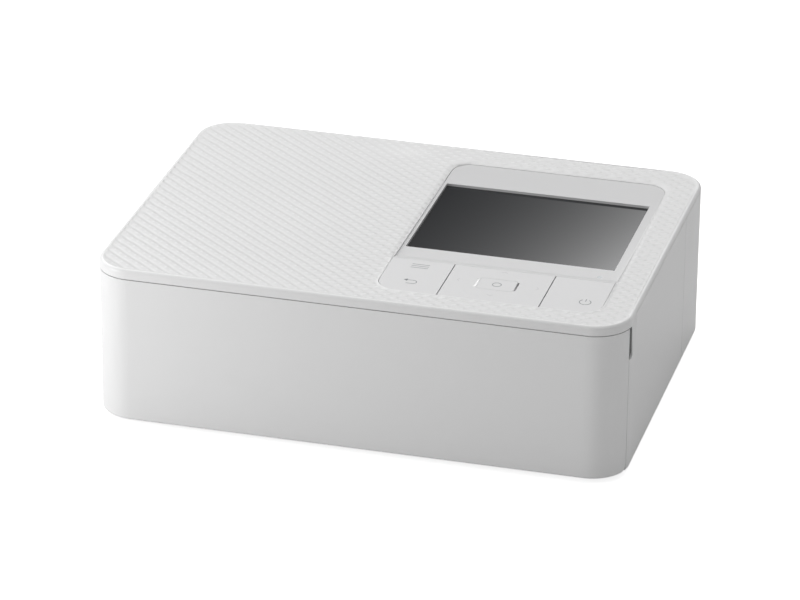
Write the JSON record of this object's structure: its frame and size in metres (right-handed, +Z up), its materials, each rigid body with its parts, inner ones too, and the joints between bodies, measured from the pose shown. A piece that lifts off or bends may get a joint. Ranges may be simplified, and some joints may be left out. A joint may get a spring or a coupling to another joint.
{
  "type": "compact photo printer",
  "caption": "Compact dye-sublimation photo printer with a hinged front cover, a side ink door, a display with keys on top and the print mechanism inside.",
  "frame": {"origin": "centre of the footprint, on the table that the feet stand on", "axes": "+X to the right as seen from the front, +Y to the back, +Z up"},
  "size_m": [0.1822, 0.133, 0.0576],
  "materials": {
    "case_white": "satin white moulded plastic",
    "cover_white": "satin white moulded plastic with fine ribs",
    "panel_white": "smooth satin white",
    "base_grey": "fine grained light grey",
    "inner_grey": "fine grained mid grey",
    "flap_grey": "fine grained dark grey",
    "display_glass": "dark glossy display window",
    "display_back": "satin display can",
    "lamp": "clear light guide",
    "silicone": "matt silicone",
    "board": "green solder mask",
    "plate_steel": "zinc plated sheet",
    "shaft_steel": "ground bright steel",
    "roller_rubber": "ground black rubber",
    "bush": "natural acetal",
    "head_ceramic": "glazed ceramic line",
    "sink_aluminium": "extruded",
    "motor_steel": "zinc plated can",
    "pinion_brass": "machined",
    "gear_plastic": "natural acetal",
    "ink_case": "dark grey moulded plastic",
    "spool_white": "white spool",
    "ribbon_fresh": "dyed film",
    "ribbon_used": "spent dyed film",
    "lever_orange": "satin",
    "fan_black": "black glass filled plastic",
    "port_steel": "stamped shell",
    "foot_rubber": "matt rubber",
    "screw_steel": "zinc plated"
  },
  "bodies": {
    "printer": {"top_cover": "cover_white", "control_panel": "panel_white", "lcd_window": "display_glass", "lcd_module": "display_back", "key_mat": "silicone", "key_board": "board", "status_lamp": "lamp", "side_case": "case_white", "bottom_case": "base_grey", "front_frame": "inner_grey", "ink_bay_bezel": "inner_grey", "left_side_plate": "plate_steel", "right_side_plate": "plate_steel", "chassis_rods": "shaft_steel", "rear_paper_guide": "inner_grey", "roller_bushes": "bush", "drive_motor": "motor_steel", "gear_studs": "shaft_steel", "fan_frame": "fan_black", "main_board": "board", "card_slot": "port_steel", "usb_port": "port_steel", "dc_inlet": "fan_black", "rubber_feet": "foot_rubber", "case_screws": "screw_steel", "motor_bracket": "plate_steel"},
    "front_cover": {"front_cover": "case_white"},
    "ink_cover": {"ink_cover": "case_white"},
    "slot_flap": {"slot_flap": "flap_grey"},
    "menu_back_key": {"menu_back_key": "panel_white"},
    "navigation_key": {"navigation_key": "panel_white"},
    "ok_key": {"ok_key": "panel_white"},
    "power_key": {"power_key": "panel_white"},
    "platen": {"platen_roller": "roller_rubber"},
    "capstan": {"capstan_roller": "shaft_steel", "capstan_gear": "gear_plastic"},
    "pinch": {"pinch_roller": "shaft_steel"},
    "pickup": {"pickup_roller": "roller_rubber"},
    "print_head": {"thermal_head": "head_ceramic", "head_heat_sink": "sink_aluminium"},
    "motor_shaft": {"motor_pinion": "pinion_brass"},
    "reduction": {"reduction_gear": "gear_plastic"},
    "rear_idler": {"rear_idler_gear": "gear_plastic"},
    "front_idler": {"front_idler_gear": "gear_plastic"},
    "ribbon_drive": {"ribbon_drive_gear": "gear_plastic"},
    "ink_cassette": {"ink_cassette": "ink_case", "ribbon_span": "ribbon_fresh"},
    "take_up": {"take_up_spool": "spool_white", "take_up_ribbon": "ribbon_used"},
    "supply": {"supply_spool": "spool_white", "supply_ribbon": "ribbon_fresh"},
    "eject_lever": {"eject_lever": "lever_orange"},
    "fan_rotor": {"fan_rotor": "fan_black"}
  },
  "joints": [
    {"name": "front_cover_hinge", "type": "hinge", "parent": "printer", "child": "front_cover", "pos_m": [0, -0.0617, 0.0064], "axis": [1, 0, 0], "range_deg": [0, 90]},
    {"name": "ink_cover_hinge", "type": "hinge", "parent": "printer", "child": "ink_cover", "pos_m": [0.0863, 0, 0.0064], "axis": [0, 1, 0], "range_deg": [0, 90]},
    {"name": "slot_flap_hinge", "type": "hinge", "parent": "printer", "child": "slot_flap", "pos_m": [0, -0.0543, 0.024], "axis": [1, 0, 0], "range_deg": [0, 80]},
    {"name": "menu_back_press", "type": "hinge", "parent": "printer", "child": "menu_back_key", "pos_m": [0.042, -0.0312, 0.0569], "axis": [1, 0, 0], "range_deg": [0, 0.8], "stiffness_Nm_per_rad": 2, "springref_deg": -0.57},
    {"name": "navigation_press", "type": "hinge", "parent": "printer", "child": "navigation_key", "pos_m": [0.042, -0.0312, 0.0569], "axis": [1, 0, 0], "range_deg": [0, 0.8], "stiffness_Nm_per_rad": 2, "springref_deg": -0.57},
    {"name": "power_press", "type": "hinge", "parent": "printer", "child": "power_key", "pos_m": [0.042, -0.0312, 0.0569], "axis": [1, 0, 0], "range_deg": [0, 0.8], "stiffness_Nm_per_rad": 2, "springref_deg": -0.57},
    {"name": "ok_press", "type": "slide", "parent": "navigation_key", "child": "ok_key", "axis": [0, 0, -1], "range_m": [0, 0.0002], "stiffness_N_per_m": 2000, "springref_m": -0.0002},
    {"name": "capstan_spin", "type": "hinge", "parent": "printer", "child": "capstan", "pos_m": [0, 0.034, 0.0225], "axis": [1, 0, 0], "continuous": true},
    {"name": "reduction_spin", "type": "hinge", "parent": "printer", "child": "reduction", "pos_m": [0, 0.046, 0.0385], "axis": [1, 0, 0], "continuous": true},
    {"name": "motor_spin", "type": "hinge", "parent": "printer", "child": "motor_shaft", "pos_m": [0, 0.0268, 0.0385], "axis": [1, 0, 0], "continuous": true},
    {"name": "rear_idler_spin", "type": "hinge", "parent": "printer", "child": "rear_idler", "pos_m": [0, 0.0076, 0.0385], "axis": [1, 0, 0], "continuous": true},
    {"name": "front_idler_spin", "type": "hinge", "parent": "printer", "child": "front_idler", "pos_m": [0, -0.01754, 0.02445], "axis": [1, 0, 0], "continuous": true},
    {"name": "ribbon_drive_spin", "type": "hinge", "parent": "printer", "child": "ribbon_drive", "pos_m": [0, -0.037, 0.0385], "axis": [1, 0, 0], "continuous": true},
    {"name": "take_up_spin", "type": "hinge", "parent": "ink_cassette", "child": "take_up", "pos_m": [0, -0.037, 0.0385], "axis": [1, 0, 0], "continuous": true},
    {"name": "supply_spin", "type": "hinge", "parent": "ink_cassette", "child": "supply", "pos_m": [0, 0.013, 0.0385], "axis": [1, 0, 0], "continuous": true},
    {"name": "pinch_spin", "type": "hinge", "parent": "printer", "child": "pinch", "pos_m": [0, 0.034, 0.0308], "axis": [1, 0, 0], "continuous": true},
    {"name": "platen_spin", "type": "hinge", "parent": "printer", "child": "platen", "pos_m": [0, -0.012, 0.0195], "axis": [1, 0, 0], "continuous": true},
    {"name": "pickup_spin", "type": "hinge", "parent": "printer", "child": "pickup", "pos_m": [0, -0.0285, 0.02], "axis": [1, 0, 0], "continuous": true},
    {"name": "head_lift", "type": "slide", "parent": "printer", "child": "print_head", "axis": [0, 0, 1], "range_m": [0, 0.0012], "stiffness_N_per_m": 3000, "springref_m": -0.002},
    {"name": "ink_cassette_slide", "type": "slide", "parent": "printer", "child": "ink_cassette", "axis": [1, 0, 0], "range_m": [0, 0.003]},
    {"name": "eject_lever_slide", "type": "slide", "parent": "printer", "child": "eject_lever", "axis": [0, 0, 1], "range_m": [0, 0.003], "stiffness_N_per_m": 200, "springref_m": -0.002},
    {"name": "fan_spin", "type": "hinge", "parent": "printer", "child": "fan_rotor", "pos_m": [0, -0.02, 0.033], "axis": [1, 0, 0], "continuous": true}
  ],
  "couplings": [
    {"joint": "reduction_spin", "follows": "capstan_spin", "ratio": -2.5714},
    {"joint": "motor_spin", "follows": "capstan_spin", "ratio": 7.7143},
    {"joint": "rear_idler_spin", "follows": "capstan_spin", "ratio": -2.5714},
    {"joint": "front_idler_spin", "follows": "capstan_spin", "ratio": 2.5714},
    {"joint": "ribbon_drive_spin", "follows": "capstan_spin", "ratio": -3.8571},
    {"joint": "take_up_spin", "follows": "capstan_spin", "ratio": -3.8571},
    {"joint": "supply_spin", "follows": "capstan_spin", "ratio": -3.8571},
    {"joint": "pinch_spin", "follows": "capstan_spin", "ratio": -1}
  ]
}
